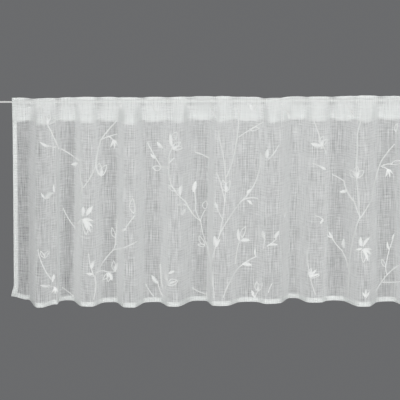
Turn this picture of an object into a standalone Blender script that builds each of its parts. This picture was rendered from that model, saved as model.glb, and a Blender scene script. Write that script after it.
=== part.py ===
"""Cafe curtain hung on a thin round rod.

One length of sheer cloth, hemmed at both sides and along the foot, is turned over to the
back at the top. The turned part makes a heading: a small frill above the rod and a sleeve
that the rod runs through. Below the heading the cloth falls in uneven folds.

The frame's origin is on the rod's axis, halfway along it. X runs along the rod, Z is up,
and the curtain's face looks towards -Y.
"""

from math import cos, pi, sin

import bmesh
import bpy
from mathutils import Vector

MM = 0.001

# Driving dimensions
CURTAIN_HEIGHT = 450 * MM
HUNG_WIDTH = 885 * MM
ROD_DIAMETER = 3.5 * MM
ROD_PAST_EDGE = 36 * MM
FRILL_HEIGHT = 8.5 * MM
HEADING_HEIGHT = 51 * MM
HEM_HEIGHT = 10.5 * MM
CLOTH_THICKNESS = 1.0 * MM
HEM_THICKNESS = 1.8 * MM
CLEARANCE = 0.3 * MM

# Where the pieces lie
ROD_LENGTH = HUNG_WIDTH + 2 * ROD_PAST_EDGE
HEADING_FOOT = FRILL_HEIGHT - HEADING_HEIGHT
CURTAIN_FOOT = FRILL_HEIGHT - CURTAIN_HEIGHT
SLEEVE_RADIUS = ROD_DIAMETER / 2 + CLEARANCE + CLOTH_THICKNESS / 2
SLEEVE_DROP = 9 * MM
LAYER_OFFSET = (CLOTH_THICKNESS + CLEARANCE) / 2
TURN_RISE = LAYER_OFFSET
FOLDS_START = 3 * MM

# The folds, from the left edge to the right, in millimetres. x is measured from the left
# edge, and forward is how far the cloth stands in front of the rod, at the heading's foot
# (top) and at the curtain's foot (hem). flank is how sharply the cloth turns to the next
# fold, from 0 to 1, and lean is where along the way it does. crown raises the frill, and
# lift raises the hem.
FOLD_COLUMNS = ("x_top", "forward_top", "x_hem", "forward_hem", "flank", "lean", "crown", "lift")
FOLDS = (
    (3, -3, -3, -36, 0.30, 0.50, 0.0, 6.5),
    (28, -5, 25, -31, 0.30, 0.45, 0.3, 1.5),
    (62, 15, 53, 21, 0.00, 0.50, -0.4, 0.0),
    (91, 4, 88, -2, 1.00, 0.15, 0.0, 0.0),
    (124, -9, 108, -28, 0.60, 0.49, 0.4, 0.0),
    (159, 2, 155, 15, 0.50, 0.41, 1.5, 0.0),
    (207, -8, 201, -14, 0.70, 0.48, 0.6, 0.0),
    (250, 12, 244, 24, 0.55, 0.38, 0.6, 0.0),
    (294, -2, 291, -15, 0.65, 0.50, 0.6, 0.0),
    (344, 6, 338, 20, 0.35, 0.36, 0.9, 0.0),
    (398, -15, 391, -21, 0.85, 0.42, 0.8, 0.0),
    (438, 3, 434, 16, 0.60, 0.41, 1.8, 0.0),
    (496, -7, 494, -12, 0.60, 0.52, -0.8, 0.0),
    (538, 10, 538, 4, 0.65, 0.62, -2.7, 0.0),
    (588, -13, 584, -34, 0.55, 0.40, -0.6, 0.0),
    (638, 1, 634, -4, 0.85, 0.44, -0.6, 0.0),
    (675, -4, 669, -16, 0.45, 0.56, -0.4, 0.0),
    (725, 6, 732, 25, 0.70, 0.40, 1.5, 0.0),
    (781, -9, 781, -9, 0.60, 0.50, -0.9, 0.0),
    (828, 8, 829, 21, 0.60, 0.48, 0.6, 0.0),
    (867, -4, 869, -18, 0.30, 0.50, 0.0, 1.0),
    (885, -6, 887, -26, 0.30, 0.50, 0.0, 3.0),
)
HEM_STRIPS = (0, len(FOLDS) - 2)

# How far the foot's left corner stands out to the side, up to which height, and how far
# along the first fold
CORNER_FLIP = 5.5 * MM
CORNER_REACH = 34 * MM
CORNER_WIDTH = 0.8

# How the folds grow from the heading's foot to the curtain's
FOLD_GROWTH = 0.45
SOFT_FLANK = 0.85
SHARP_FLANK = 0.22
TOP_SHARPNESS = 0.7
ROUND_SHARE = 0.3
FRILL_SWAY = 0.2
LIFT_REACH = 70 * MM

# Heights of the cloth's cross rows between the hem and the heading
FIELD_HEIGHTS = tuple(z * MM for z in (-395, -320, -240, -165, -105, -68))

# Places of the upright columns across a flank
FLANK_SHARES = (0.08, 0.36, 0.64, 0.92)

CLOTH_COLOUR = (0.90, 0.91, 0.90, 1.0)
ROD_COLOUR = (0.92, 0.92, 0.90, 1.0)
ROD_SIDES_RESOLUTION = 2


def clamped(value):
    """The value, held between 0 and 1."""
    return min(1.0, max(0.0, value))


def eased(share):
    """A share of the way from 0 to 1, with a soft start and end."""
    share = clamped(share)
    return share * share * (3 - 2 * share)


def between(low, high, share):
    """The value that lies this share of the way from low to high."""
    return low + (high - low) * share


def fold_value(index, column):
    """One number of the fold table, in metres where it is a length."""
    value = FOLDS[index][FOLD_COLUMNS.index(column)]
    return value if column in ("flank", "lean") else value * MM


def drop_share(z):
    """How far down the cloth is, from 0 at the heading's foot to 1 at the curtain's."""
    return clamped((HEADING_FOOT - z) / (HEADING_FOOT - CURTAIN_FOOT))


def growth(z):
    """How far the folds have grown from their depth at the heading to that at the hem."""
    return drop_share(z) ** FOLD_GROWTH


def flank_width(index, z):
    """The share of a half fold's width that its flank takes up at this height."""
    sharpness = fold_value(index, "flank") * between(TOP_SHARPNESS, 1.0, growth(z))
    return between(SOFT_FLANK, SHARP_FLANK, sharpness)


def fold_share(index, share, z):
    """How far the depth has gone to the next fold's, this share of the way along."""
    width = flank_width(index, z)
    start = clamped(fold_value(index, "lean") - width / 2)
    start = min(start, 1 - width)
    flank = eased((share - start) / width)
    even = 0.5 - 0.5 * cos(pi * share)
    return between(flank, even, ROUND_SHARE)


def along(index, share, z):
    """Distance along the rod of a place on the cloth, from its middle."""
    grown = drop_share(z)
    here = between(fold_value(index, "x_top"), fold_value(index, "x_hem"), grown)
    after = between(fold_value(index + 1, "x_top"), fold_value(index + 1, "x_hem"), grown)
    low = eased(1 - (z - CURTAIN_FOOT) / CORNER_REACH) ** 1.5
    flip = CORNER_FLIP * low * (1 - eased((index + share) / CORNER_WIDTH))
    return between(here, after, share) - flip - HUNG_WIDTH / 2


def sway(z):
    """How much of the folds the heading shows: none at the rod, all at its foot."""
    if z < -FOLDS_START:
        return sin(pi / 2 * clamped((-FOLDS_START - z) / (-FOLDS_START - HEADING_FOOT)))
    return FRILL_SWAY * eased((z - FOLDS_START) / (FRILL_HEIGHT - FOLDS_START))


def forward(index, share, z):
    """How far the cloth stands in front of the rod."""
    grown = growth(z)
    here = between(fold_value(index, "forward_top"), fold_value(index, "forward_hem"), grown)
    after = between(
        fold_value(index + 1, "forward_top"), fold_value(index + 1, "forward_hem"), grown
    )
    return between(here, after, fold_share(index, share, z)) * sway(z)


def raised(index, share, z):
    """How much the frill's top or the hem is raised at this place."""
    smooth = eased(share)
    crown = between(fold_value(index, "crown"), fold_value(index + 1, "crown"), smooth)
    lift = between(fold_value(index, "lift"), fold_value(index + 1, "lift"), smooth)
    crown_share = eased((z - FOLDS_START) / (FRILL_HEIGHT - FOLDS_START))
    lift_share = eased(1 - (z - CURTAIN_FOOT) / LIFT_REACH)
    return crown * crown_share + lift * lift_share


def plan_point(index, share, z):
    """A point of the cloth's middle surface, seen from above."""
    return Vector((along(index, share, z), -forward(index, share, z)))


def plan_normal(index, share, z):
    """The direction across the cloth, seen from above, towards the back."""
    step = 0.01
    before = plan_point(index, max(0.0, share - step), z)
    after = plan_point(index, min(1.0, share + step), z)
    run = (after - before).normalized()
    return Vector((-run.y, run.x))


def layer_distance(z):
    """How far each layer of the heading stands from its middle, round the rod's sleeve."""
    if z >= 0:
        return max(LAYER_OFFSET, (max(0.0, SLEEVE_RADIUS**2 - z * z)) ** 0.5)
    return between(SLEEVE_RADIUS, LAYER_OFFSET, eased(-z / SLEEVE_DROP))


def cloth_rows():
    """The cloth's cross rows, from the hem up the front and down the back of the heading.

    Each row is its height and how far it stands from the cloth's middle, towards the back.
    """
    field = [CURTAIN_FOOT, CURTAIN_FOOT + HEM_HEIGHT, CURTAIN_FOOT + HEM_HEIGHT + HEM_THICKNESS]
    field += FIELD_HEIGHTS
    rod_radius = ROD_DIAMETER / 2
    heading = [HEADING_FOOT, HEADING_FOOT * 0.6, HEADING_FOOT * 0.35, -SLEEVE_DROP]
    heading += [-SLEEVE_DROP / 2, 0.0, 1.05 * rod_radius, SLEEVE_RADIUS]
    heading += [FRILL_HEIGHT - TURN_RISE - CLOTH_THICKNESS / 2]
    front = [(z, -LAYER_OFFSET) for z in field]
    front += [(z, -layer_distance(z)) for z in heading]
    turn = [(FRILL_HEIGHT - CLOTH_THICKNESS / 2, 0.0)]
    back = [(z, layer_distance(z)) for z in reversed(heading)]
    return front + turn + back


def cloth_columns():
    """The cloth's upright columns: places along the folds, closer together on the flanks.

    Each column is the fold it starts from, the share of the way to the next fold, and
    whether it lies on a side hem.
    """
    columns = []
    last = len(FOLDS) - 2
    for index in range(last + 1):
        if index in HEM_STRIPS:
            shares = (0.0, 0.5, 0.6) if index == 0 else (0.0, 0.4, 0.5)
            thick = (index == 0, True, index != 0)
            columns += [(index, share, flag) for share, flag in zip(shares, thick)]
            continue
        width = flank_width(index, CURTAIN_FOOT)
        start = min(clamped(fold_value(index, "lean") - width / 2), 1 - width)
        on_flank = (start + share * width for share in FLANK_SHARES)
        columns += [(index, share, False) for share in (0.0, *on_flank)]
    columns.append((last, 1.0, True))
    return columns


def cloth_point(column, row):
    """Where a column and a row of the cloth meet, with the cloth hung."""
    index, share, _ = column
    z, distance = row
    plan = plan_point(index, share, z) + plan_normal(index, share, z) * distance
    return Vector((plan.x, plan.y, z + raised(index, share, z)))


def plain_material(name, colour, roughness, metallic):
    """A material of one colour."""
    material = bpy.data.materials.new(name)
    material.use_nodes = True
    shader = material.node_tree.nodes["Principled BSDF"]
    shader.inputs["Base Color"].default_value = colour
    shader.inputs["Roughness"].default_value = roughness
    shader.inputs["Metallic"].default_value = metallic
    material.diffuse_color = colour
    return material


def make_panel(collection):
    """The curtain's one length of cloth, with its hems and its heading."""
    columns, rows = cloth_columns(), cloth_rows()
    across, up = len(columns) - 1, len(rows) - 1
    mesh = bpy.data.meshes.new("curtain_panel")
    sheet = bmesh.new()
    bmesh.ops.create_grid(sheet, x_segments=across, y_segments=up, size=0.5)
    hem_weights = sheet.verts.layers.deform.verify()
    hem_top = CURTAIN_FOOT + HEM_HEIGHT
    for vertex in sheet.verts:
        column = columns[round((vertex.co.x + 0.5) * across)]
        row = rows[round((vertex.co.y + 0.5) * up)]
        on_side_hem, on_foot_hem = column[2], row[0] <= hem_top
        on_front = row[1] <= -LAYER_OFFSET and row[0] <= HEADING_FOOT
        thick = on_foot_hem or (on_side_hem and on_front)
        vertex[hem_weights][0] = 1.0 if thick else CLOTH_THICKNESS / HEM_THICKNESS
        vertex.co = cloth_point(column, row)
    bmesh.ops.recalc_face_normals(sheet, faces=sheet.faces)
    sheet.to_mesh(mesh)
    sheet.free()
    mesh.shade_smooth()
    panel = bpy.data.objects.new("curtain_panel", mesh)
    panel.vertex_groups.new(name="hems")
    mesh.materials.append(plain_material("sheer_cloth", CLOTH_COLOUR, 0.9, 0.0))
    body = panel.modifiers.new("cloth body", "SOLIDIFY")
    body.thickness = HEM_THICKNESS
    body.vertex_group = "hems"
    body.offset = 0.0
    body.use_even_offset = True
    collection.objects.link(panel)
    return panel


def make_rod(collection):
    """The thin round rod, which runs through the heading's sleeve and out at both ends."""
    line = bpy.data.curves.new("rod", "CURVE")
    line.dimensions = "3D"
    line.bevel_depth = ROD_DIAMETER / 2
    line.bevel_resolution = ROD_SIDES_RESOLUTION
    line.use_fill_caps = True
    spline = line.splines.new("POLY")
    spline.points.add(1)
    for point, x in zip(spline.points, (-ROD_LENGTH / 2, ROD_LENGTH / 2)):
        point.co = (x, 0, 0, 1)
    line.materials.append(plain_material("rod_enamel", ROD_COLOUR, 0.35, 0.0))
    rod = bpy.data.objects.new("rod", line)
    collection.objects.link(rod)
    return rod


def main():
    """Clears the scene and builds the curtain on its rod."""
    for old in list(bpy.data.objects):
        bpy.data.objects.remove(old)
    collection = bpy.data.collections.new("Cafe curtain")
    bpy.context.scene.collection.children.link(collection)
    make_panel(collection)
    make_rod(collection)


main()
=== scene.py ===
"""Dresses a cafe curtain on its thin rod: sheer cloth, embroidery, stitching and enamel.

The curtain hangs from the rod, whose axis is the frame's X axis. Z is up and the curtain's
face looks towards -Y. Sizes are in metres, apart from the tables, which are in millimetres.
"""

from __future__ import annotations

import logging
import math
from dataclasses import dataclass, field
from enum import Enum
from typing import NamedTuple, Sequence

import bmesh
import bpy
import numpy as np
from mathutils import Matrix, Vector

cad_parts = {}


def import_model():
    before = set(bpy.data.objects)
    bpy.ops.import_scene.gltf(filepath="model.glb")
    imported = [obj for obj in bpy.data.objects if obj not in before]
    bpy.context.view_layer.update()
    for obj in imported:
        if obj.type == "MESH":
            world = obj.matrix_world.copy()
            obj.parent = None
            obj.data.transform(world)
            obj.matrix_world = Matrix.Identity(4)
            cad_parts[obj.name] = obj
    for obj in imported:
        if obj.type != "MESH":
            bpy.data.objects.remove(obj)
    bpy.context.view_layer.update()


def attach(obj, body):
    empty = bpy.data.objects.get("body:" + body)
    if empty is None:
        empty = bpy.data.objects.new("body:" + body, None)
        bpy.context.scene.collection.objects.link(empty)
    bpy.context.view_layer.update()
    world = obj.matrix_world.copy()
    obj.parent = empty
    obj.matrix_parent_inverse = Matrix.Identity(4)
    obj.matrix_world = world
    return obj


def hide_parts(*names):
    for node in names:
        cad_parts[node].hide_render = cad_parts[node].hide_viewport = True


MM = 0.001
LOG = logging.getLogger("cafe_curtain")


class Fold(NamedTuple):
    """One crest or trough of the hung cloth, in millimetres from the left edge.

    Forward is how far it stands in front of the rod at the heading's foot (top) and at the
    curtain's foot (hem). Flank is how sharply the cloth turns to the next fold and lean is
    where. Crown raises the frill and lift raises the hem. Close makes the cloth there less
    see-through, or more where it is negative, and has no unit.
    """

    x_top: float
    forward_top: float
    x_hem: float
    forward_hem: float
    flank: float
    lean: float
    crown: float
    lift: float
    close: float


FOLDS: tuple[Fold, ...] = (
    Fold(3, -3, -3, -36, 0.30, 0.50, 0.0, 6.5, 0.0),
    Fold(28, -5, 25, -31, 0.30, 0.45, 0.3, 1.5, 0.0),
    Fold(62, 15, 53, 21, 0.00, 0.50, -0.4, 0.0, -0.07),
    Fold(91, 4, 88, -2, 1.00, 0.15, 0.0, 0.0, 0.0),
    Fold(124, -9, 108, -28, 0.60, 0.49, 0.4, 0.0, -0.23),
    Fold(159, 2, 155, 15, 0.50, 0.41, 1.5, 0.0, 0.0),
    Fold(207, -8, 201, -14, 0.70, 0.48, 0.6, 0.0, -0.15),
    Fold(250, 12, 244, 24, 0.55, 0.38, 0.6, 0.0, 0.0),
    Fold(294, -2, 291, -15, 0.65, 0.50, 0.6, 0.0, -0.07),
    Fold(344, 6, 338, 20, 0.35, 0.36, 0.9, 0.0, 0.04),
    Fold(398, -15, 391, -21, 0.85, 0.42, 0.8, 0.0, -0.11),
    Fold(438, 3, 434, 16, 0.60, 0.41, 1.8, 0.0, 0.04),
    Fold(496, -7, 494, -12, 0.60, 0.52, -0.8, 0.0, 0.0),
    Fold(538, 10, 538, 4, 0.65, 0.62, -2.7, 0.0, 0.0),
    Fold(588, -13, 584, -34, 0.55, 0.40, -0.6, 0.0, 0.0),
    Fold(638, 1, 634, -4, 0.85, 0.44, -0.6, 0.0, 0.04),
    Fold(675, -4, 669, -16, 0.45, 0.56, -0.4, 0.0, -0.14),
    Fold(725, 6, 732, 25, 0.70, 0.40, 1.5, 0.0, 0.0),
    Fold(781, -9, 781, -9, 0.60, 0.50, -0.9, 0.0, -0.15),
    Fold(828, 8, 829, 21, 0.60, 0.48, 0.6, 0.0, -0.06),
    Fold(867, -4, 869, -18, 0.30, 0.50, 0.0, 1.0, 0.0),
    Fold(885, -6, 887, -26, 0.30, 0.50, 0.0, 3.0, 0.0),
)


class Crease(NamedTuple):
    """A pinched crease of the heading, in millimetres: its distance from the left edge, its
    depth and width, how far it runs on below the heading, and its painted shade: the weave
    is opened along the crease so that it shows darker, or closed so that it is painted
    lighter where the value is less than 0."""

    x: float
    depth: float
    width: float
    reach: float
    painted_shade: float


CREASES: tuple[Crease, ...] = (
    Crease(44, 9.5, 25, 90, 0.42),
    Crease(97, 6.5, 19, 60, 0.70),
    Crease(131, 4.0, 14, 80, 0.10),
    Crease(181, 6.5, 21, 70, 0.65),
    Crease(222, 6.0, 15, 70, 0.10),
    Crease(271, 8.5, 21, 60, 0.60),
    Crease(325, 7.0, 28, 70, 0.62),
    Crease(370, 6.5, 22, 60, 0.45),
    Crease(399, 1.0, 25, 60, -0.35),
    Crease(421, 6.0, 16, 80, 0.65),
    Crease(462, 6.0, 28, 60, 0.50),
    Crease(490, 1.0, 24, 60, -0.35),
    Crease(523, 7.1, 16, 80, 0.70),
    Crease(558, 3.9, 12, 60, 0.40),
    Crease(590, 1.0, 24, 60, -0.35),
    Crease(611, 6.0, 18, 60, 0.55),
    Crease(664, 7.0, 21, 60, 0.65),
    Crease(685, 1.0, 20, 60, -0.30),
    Crease(711, 5.2, 20, 80, 0.60),
    Crease(763, 6.5, 18, 60, 0.45),
    Crease(806, 4.6, 15, 60, 0.30),
    Crease(850, 4.0, 15, 60, 0.30),
)


class Band(NamedTuple):
    """A band that runs down from a crease, where the gathered cloth lies closer.

    In millimetres from the left edge at the heading's foot and at the curtain's foot. Close
    is how much closer the threads lie at either end, and width is the band's own.
    """

    x_top: float
    x_hem: float
    close_top: float
    close_hem: float
    width: float


BANDS: tuple[Band, ...] = (
    Band(140, 131, 0.19, 0.17, 12),
    Band(173, 180, 0.18, 0.00, 13),
    Band(226, 222, 0.17, 0.10, 15),
    Band(265, 270, 0.12, 0.10, 16),
    Band(320, 310, 0.09, 0.00, 18),
    Band(367, 376, 0.10, 0.05, 16),
    Band(423, 408, 0.05, 0.12, 16),
    Band(456, 461, 0.12, 0.10, 15),
    Band(519, 512, 0.10, 0.00, 13),
    Band(559, 564, 0.10, 0.14, 12),
    Band(656, 649, 0.12, 0.17, 11),
    Band(753, 757, 0.08, 0.12, 17),
    Band(806, 808, 0.08, 0.08, 16),
)


class Bloom(Enum):
    """The kinds of leaf, bud and flower in the embroidery."""

    LEAF = "filled leaf"
    SLIM = "slim filled leaf"
    LOOP = "open loop"
    RING = "round loop"
    BUD = "two open loops"
    FLOWER = "three open loops"
    RAYS = "three slim leaves"


class Twig(NamedTuple):
    """An embroidered twig, in millimetres from the left edge and below the frill's top.

    Places are as they are seen from the front, a little above level. Bow is how far the
    twig's middle stands off to its left.
    """

    x: float
    down: float
    to_x: float
    to_down: float
    bow: float


class Sprig(NamedTuple):
    """A leaf or flower: its kind, its base, where it points in degrees, and its length."""

    kind: Bloom
    x: float
    down: float
    points: float
    length: float


TWIGS: tuple[Twig, ...] = (
    Twig(306, 349, 311, 399, -1),
    # left tree
    Twig(134, 300, 146, 187, 4),
    Twig(146, 187, 140, 132, 1),
    Twig(140, 132, 96, 104, -1),
    Twig(96, 104, 75, 57, -1),
    Twig(75, 57, 61, 18, 1),
    Twig(96, 104, 76, 101, 1),
    Twig(148, 188, 175, 139, -3),
    Twig(175, 139, 185, 90, 2),
    Twig(185, 90, 217, 52, 1),
    Twig(217, 52, 226, 30, -1),
    Twig(188, 88, 220, 78, 1),
    Twig(202, 83, 209, 89, 1),
    Twig(174, 143, 185, 164, -2),
    Twig(129, 272, 104, 231, 2),
    Twig(135, 262, 146, 254, 1),
    # lower left tree
    Twig(166, 422, 169, 373, -3),
    Twig(169, 373, 208, 319, 3),
    Twig(208, 319, 213, 293, -2),
    Twig(214, 308, 222, 240, 2),
    Twig(208, 319, 261, 299, -3),
    Twig(167, 372, 157, 326, 2),
    Twig(173, 366, 189, 363, 2),
    Twig(189, 363, 212, 364, -2),
    Twig(77, 379, 52, 317, 4),
    Twig(99, 398, 124, 417, 1),
    Twig(74, 395, 84, 396, 1),
    Twig(236, 271, 254, 247, 0),
    # middle tree
    Twig(310, 146, 282, 96, 1),
    Twig(330, 182, 325, 136, 2),
    Twig(325, 136, 334, 105, 2),
    Twig(326, 139, 337, 128, 0),
    Twig(325, 150, 310, 146, -1),
    Twig(359, 218, 330, 182, 3),
    Twig(375, 245, 359, 218, 1),
    Twig(391, 259, 380, 234, 1),
    Twig(380, 234, 379, 198, -1),
    Twig(380, 116, 409, 128, 1),
    Twig(418, 420, 405, 313, -3),
    Twig(405, 313, 391, 259, 2),
    Twig(391, 259, 375, 245, 1),
    Twig(391, 257, 401, 236, 1),
    Twig(362, 227, 344, 225, -2),
    # stems right of the middle
    Twig(412, 366, 430, 290, 3),
    Twig(430, 290, 443, 198, -2),
    Twig(443, 198, 432, 94, -4),
    Twig(432, 94, 430, 72, 1),
    Twig(441, 218, 425, 159, -2),
    Twig(436, 254, 425, 229, 1),
    Twig(430, 288, 473, 221, 2),
    Twig(473, 221, 502, 186, -2),
    Twig(502, 186, 516, 119, -5),
    Twig(479, 216, 511, 213, 3),
    Twig(445, 168, 466, 94, -3),
    Twig(466, 94, 471, 30, -2),
    Twig(470, 86, 522, 55, 1),
    Twig(463, 349, 472, 302, 2),
    Twig(437, 420, 466, 361, 2),
    Twig(466, 361, 507, 334, 2),
    Twig(529, 313, 549, 297, -1),
    Twig(522, 318, 525, 297, 0),
    Twig(532, 132, 553, 103, -2),
    # foot row
    Twig(404, 413, 373, 400, 2),
    Twig(418, 402, 413, 381, 0),
    Twig(312, 417, 301, 388, 2),
    Twig(312, 402, 307, 349, 1),
    Twig(316, 400, 320, 384, -1),
    Twig(291, 417, 275, 391, 1),
    Twig(505, 420, 511, 407, 1),
    Twig(532, 410, 540, 391, 1),
    Twig(631, 415, 620, 377, 1),
    Twig(620, 377, 613, 322, 2),
    # right tree
    Twig(700, 418, 702, 363, 1),
    Twig(702, 363, 722, 252, 5),
    Twig(722, 252, 720, 225, 1),
    Twig(720, 225, 714, 143, 1),
    Twig(714, 143, 716, 82, -1),
    Twig(716, 82, 726, 46, 1),
    Twig(722, 252, 708, 211, 1),
    Twig(708, 218, 690, 178, 3),
    Twig(690, 178, 665, 164, -1),
    Twig(722, 256, 747, 214, -1),
    Twig(747, 214, 767, 136, 3),
    Twig(767, 136, 794, 102, 1),
    Twig(766, 148, 788, 143, 2),
    Twig(768, 149, 779, 153, 1),
    Twig(701, 363, 686, 322, -2),
    Twig(686, 322, 665, 294, 2),
    Twig(643, 110, 625, 50, -2),
    Twig(644, 103, 652, 121, 1),
    Twig(624, 141, 651, 153, 1),
    Twig(631, 250, 645, 256, 1),
    Twig(756, 410, 781, 374, 1),
    Twig(781, 374, 816, 345, 1),
    Twig(771, 390, 816, 387, -1),
    Twig(781, 374, 778, 357, 1),
    Twig(778, 359, 792, 302, 2),
    # past the right tree
    Twig(816, 345, 836, 318, -3),
    Twig(812, 268, 824, 206, 2),
    Twig(824, 206, 846, 172, -2),
    Twig(824, 206, 815, 160, -2),
    Twig(858, 400, 850, 352, 2),
    Twig(850, 352, 862, 316, -2),
    Twig(846, 120, 862, 74, 2),
    # heading
    Twig(300, 36, 292, 12, 1),
    Twig(409, 10, 417, 34, 1),
    Twig(560, 18, 571, 36, -1),
    Twig(690, 16, 702, 34, 1),
)

SPRIGS: tuple[Sprig, ...] = (
    # left tree
    Sprig(Bloom.SLIM, 78, 103, 152, 21),
    Sprig(Bloom.LEAF, 137, 137, 192, 15),
    Sprig(Bloom.FLOWER, 76, 56, 70, 19),
    Sprig(Bloom.RAYS, 210, 89, 280, 19),
    Sprig(Bloom.BUD, 185, 164, 82, 27),
    Sprig(Bloom.SLIM, 69, 211, 125, 15),
    Sprig(Bloom.LEAF, 69, 212, 42, 20),
    Sprig(Bloom.SLIM, 88, 198, 95, 17),
    Sprig(Bloom.LEAF, 147, 248, 88, 20),
    Sprig(Bloom.LEAF, 155, 246, 58, 22),
    Sprig(Bloom.RAYS, 145, 255, 322, 27),
    Sprig(Bloom.LOOP, 146, 256, 282, 31),
    Sprig(Bloom.SLIM, 146, 256, 302, 30),
    # lower left tree
    Sprig(Bloom.LOOP, 213, 293, 108, 22),
    Sprig(Bloom.LEAF, 163, 358, 72, 18),
    Sprig(Bloom.LEAF, 166, 368, 178, 14),
    Sprig(Bloom.LOOP, 212, 364, 98, 23),
    Sprig(Bloom.LEAF, 212, 364, 70, 19),
    Sprig(Bloom.BUD, 197, 367, 250, 19),
    Sprig(Bloom.LEAF, 198, 367, 292, 18),
    Sprig(Bloom.LOOP, 65, 334, 118, 16),
    Sprig(Bloom.LOOP, 66, 334, 58, 17),
    Sprig(Bloom.SLIM, 75, 393, 176, 20),
    Sprig(Bloom.LEAF, 81, 385, 80, 16),
    Sprig(Bloom.RAYS, 84, 396, 272, 15),
    Sprig(Bloom.LOOP, 252, 242, 92, 31),
    Sprig(Bloom.LEAF, 236, 273, 205, 13),
    # middle tree
    Sprig(Bloom.LEAF, 298, 128, 140, 13),
    Sprig(Bloom.LEAF, 314, 107, 135, 18),
    Sprig(Bloom.SLIM, 334, 105, 100, 28),
    Sprig(Bloom.RING, 335, 91, 62, 18),
    Sprig(Bloom.BUD, 335, 110, 26, 21),
    Sprig(Bloom.RING, 309, 149, 172, 17),
    Sprig(Bloom.LOOP, 339, 196, 140, 18),
    Sprig(Bloom.LEAF, 350, 205, 86, 21),
    Sprig(Bloom.LEAF, 378, 199, 82, 23),
    Sprig(Bloom.RING, 400, 234, 80, 17),
    Sprig(Bloom.LOOP, 399, 309, 120, 22),
    Sprig(Bloom.LOOP, 400, 311, 168, 16),
    Sprig(Bloom.LEAF, 352, 247, 58, 15),
    # stems right of the middle
    Sprig(Bloom.BUD, 445, 198, 90, 25),
    Sprig(Bloom.LEAF, 427, 233, 112, 14),
    Sprig(Bloom.LEAF, 425, 313, 102, 23),
    Sprig(Bloom.SLIM, 426, 312, 70, 17),
    Sprig(Bloom.LEAF, 488, 217, 322, 14),
    Sprig(Bloom.LEAF, 488, 203, 50, 13),
    Sprig(Bloom.LOOP, 496, 72, 14, 19),
    Sprig(Bloom.LOOP, 477, 294, 70, 24),
    Sprig(Bloom.LEAF, 475, 302, 6, 19),
    Sprig(Bloom.SLIM, 473, 302, 98, 27),
    Sprig(Bloom.SLIM, 506, 333, 93, 16),
    Sprig(Bloom.LEAF, 477, 351, 356, 21),
    Sprig(Bloom.LEAF, 525, 297, 104, 18),
    Sprig(Bloom.LEAF, 547, 297, 66, 18),
    Sprig(Bloom.SLIM, 530, 311, 2, 22),
    Sprig(Bloom.LEAF, 530, 130, 88, 19),
    Sprig(Bloom.LEAF, 567, 252, 80, 19),
    # foot row
    Sprig(Bloom.LEAF, 302, 389, 131, 22),
    Sprig(Bloom.SLIM, 320, 384, 94, 22),
    Sprig(Bloom.LEAF, 324, 370, 30, 14),
    Sprig(Bloom.SLIM, 322, 385, 98, 21),
    Sprig(Bloom.RING, 322, 392, 20, 22),
    Sprig(Bloom.SLIM, 325, 391, 22, 15),
    Sprig(Bloom.LEAF, 505, 420, 118, 17),
    Sprig(Bloom.BUD, 511, 407, 80, 20),
    Sprig(Bloom.RAYS, 621, 379, 52, 22),
    Sprig(Bloom.LOOP, 621, 380, 18, 19),
    Sprig(Bloom.LOOP, 620, 378, 84, 19),
    Sprig(Bloom.RAYS, 737, 422, 92, 18),
    # right tree
    Sprig(Bloom.LEAF, 642, 104, 168, 22),
    Sprig(Bloom.BUD, 642, 104, 62, 20),
    Sprig(Bloom.LEAF, 640, 149, 335, 13),
    Sprig(Bloom.LEAF, 697, 196, 196, 17),
    Sprig(Bloom.FLOWER, 716, 171, 90, 24),
    Sprig(Bloom.LOOP, 788, 143, 8, 24),
    Sprig(Bloom.RAYS, 779, 153, 288, 19),
    Sprig(Bloom.LOOP, 796, 76, 78, 17),
    Sprig(Bloom.SLIM, 668, 296, 125, 17),
    Sprig(Bloom.SLIM, 666, 296, 152, 13),
    Sprig(Bloom.LEAF, 692, 318, 96, 20),
    Sprig(Bloom.LEAF, 727, 314, 100, 20),
    Sprig(Bloom.SLIM, 729, 314, 54, 24),
    Sprig(Bloom.RAYS, 729, 320, 325, 22),
    Sprig(Bloom.LOOP, 727, 321, 275, 27),
    Sprig(Bloom.SLIM, 728, 321, 296, 26),
    Sprig(Bloom.LEAF, 727, 317, 196, 13),
    Sprig(Bloom.LEAF, 646, 256, 240, 12),
    Sprig(Bloom.LOOP, 778, 357, 118, 18),
    Sprig(Bloom.SLIM, 785, 322, 102, 18),
    Sprig(Bloom.SLIM, 792, 302, 76, 15),
    # past the right tree
    Sprig(Bloom.BUD, 836, 318, 60, 20),
    Sprig(Bloom.FLOWER, 846, 172, 55, 22),
    Sprig(Bloom.LEAF, 815, 160, 105, 19),
    Sprig(Bloom.LEAF, 862, 316, 70, 18),
    Sprig(Bloom.LOOP, 854, 362, 20, 20),
    Sprig(Bloom.LEAF, 862, 74, 70, 17),
    # heading
    Sprig(Bloom.LEAF, 417, 34, 300, 14),
    Sprig(Bloom.FLOWER, 498, 30, 80, 18),
    Sprig(Bloom.LEAF, 571, 36, 290, 14),
    Sprig(Bloom.LOOP, 702, 34, 300, 13),
    Sprig(Bloom.LEAF, 226, 30, 70, 15),
)


def mix(low: np.ndarray, high: np.ndarray, share: np.ndarray) -> np.ndarray:
    """The value that lies this share of the way from low to high."""
    return low + (high - low) * share


def eased(share: np.ndarray) -> np.ndarray:
    """A share of the way from 0 to 1, with a soft start and end."""
    share = np.clip(share, 0.0, 1.0)
    return share * share * (3 - 2 * share)


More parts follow.
